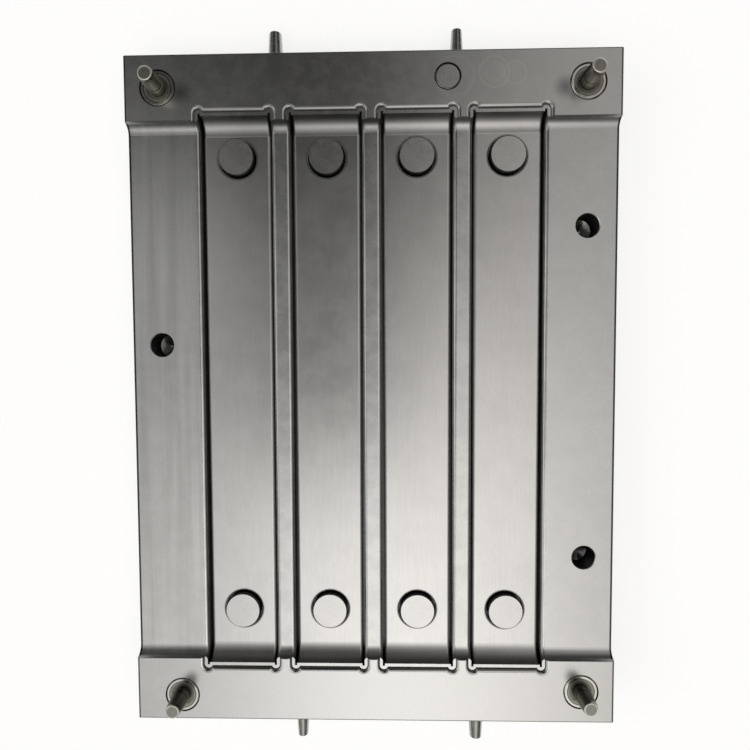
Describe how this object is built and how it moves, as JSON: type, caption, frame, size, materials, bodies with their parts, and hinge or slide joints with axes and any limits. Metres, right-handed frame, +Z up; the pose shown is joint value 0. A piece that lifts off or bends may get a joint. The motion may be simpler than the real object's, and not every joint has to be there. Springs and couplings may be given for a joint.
{
  "type": "mould base",
  "caption": "Compression mould half: a stepped steel plate with long open cavities side by side, round core pins, corner guide pins and handle pegs.",
  "frame": {"origin": "middle of the plate's underside", "axes": "+Z up out of the cavities, +Y along the cavities to the rear block, +X to the right"},
  "size_m": [0.6, 0.905, 0.093],
  "materials": {
    "plate_steel": "ground satin",
    "insert_steel": "fine polished satin",
    "core_steel": "turned and ground",
    "guide_steel": "hardened, ground, oily",
    "collar_steel": "fine turned",
    "plug_steel": "turned",
    "peg_steel": "turned, dulled",
    "fastener_steel": "black oxide"
  },
  "bodies": {
    "root": {"mould_plate": "plate_steel", "cavity_insert_1": "insert_steel", "core_pin_1_rear": "core_steel", "core_pin_1_front": "core_steel", "cavity_insert_2": "insert_steel", "core_pin_2_rear": "core_steel", "core_pin_2_front": "core_steel", "cavity_insert_3": "insert_steel", "core_pin_3_rear": "core_steel", "core_pin_3_front": "core_steel", "cavity_insert_4": "insert_steel", "core_pin_4_rear": "core_steel", "core_pin_4_front": "core_steel", "guide_pin_rear_left": "guide_steel", "guide_collar_rear_left": "collar_steel", "guide_pin_rear_right": "guide_steel", "guide_collar_rear_right": "collar_steel", "guide_pin_front_left": "guide_steel", "guide_collar_front_left": "collar_steel", "guide_pin_front_right": "guide_steel", "guide_collar_front_right": "collar_steel", "blanking_plug": "plug_steel", "handle_peg_rear_left": "peg_steel", "handle_peg_rear_right": "peg_steel", "handle_peg_front_left": "peg_steel", "handle_peg_front_right": "peg_steel", "insert_screws": "fastener_steel", "insert_dowels": "fastener_steel"}
  },
  "joints": []
}
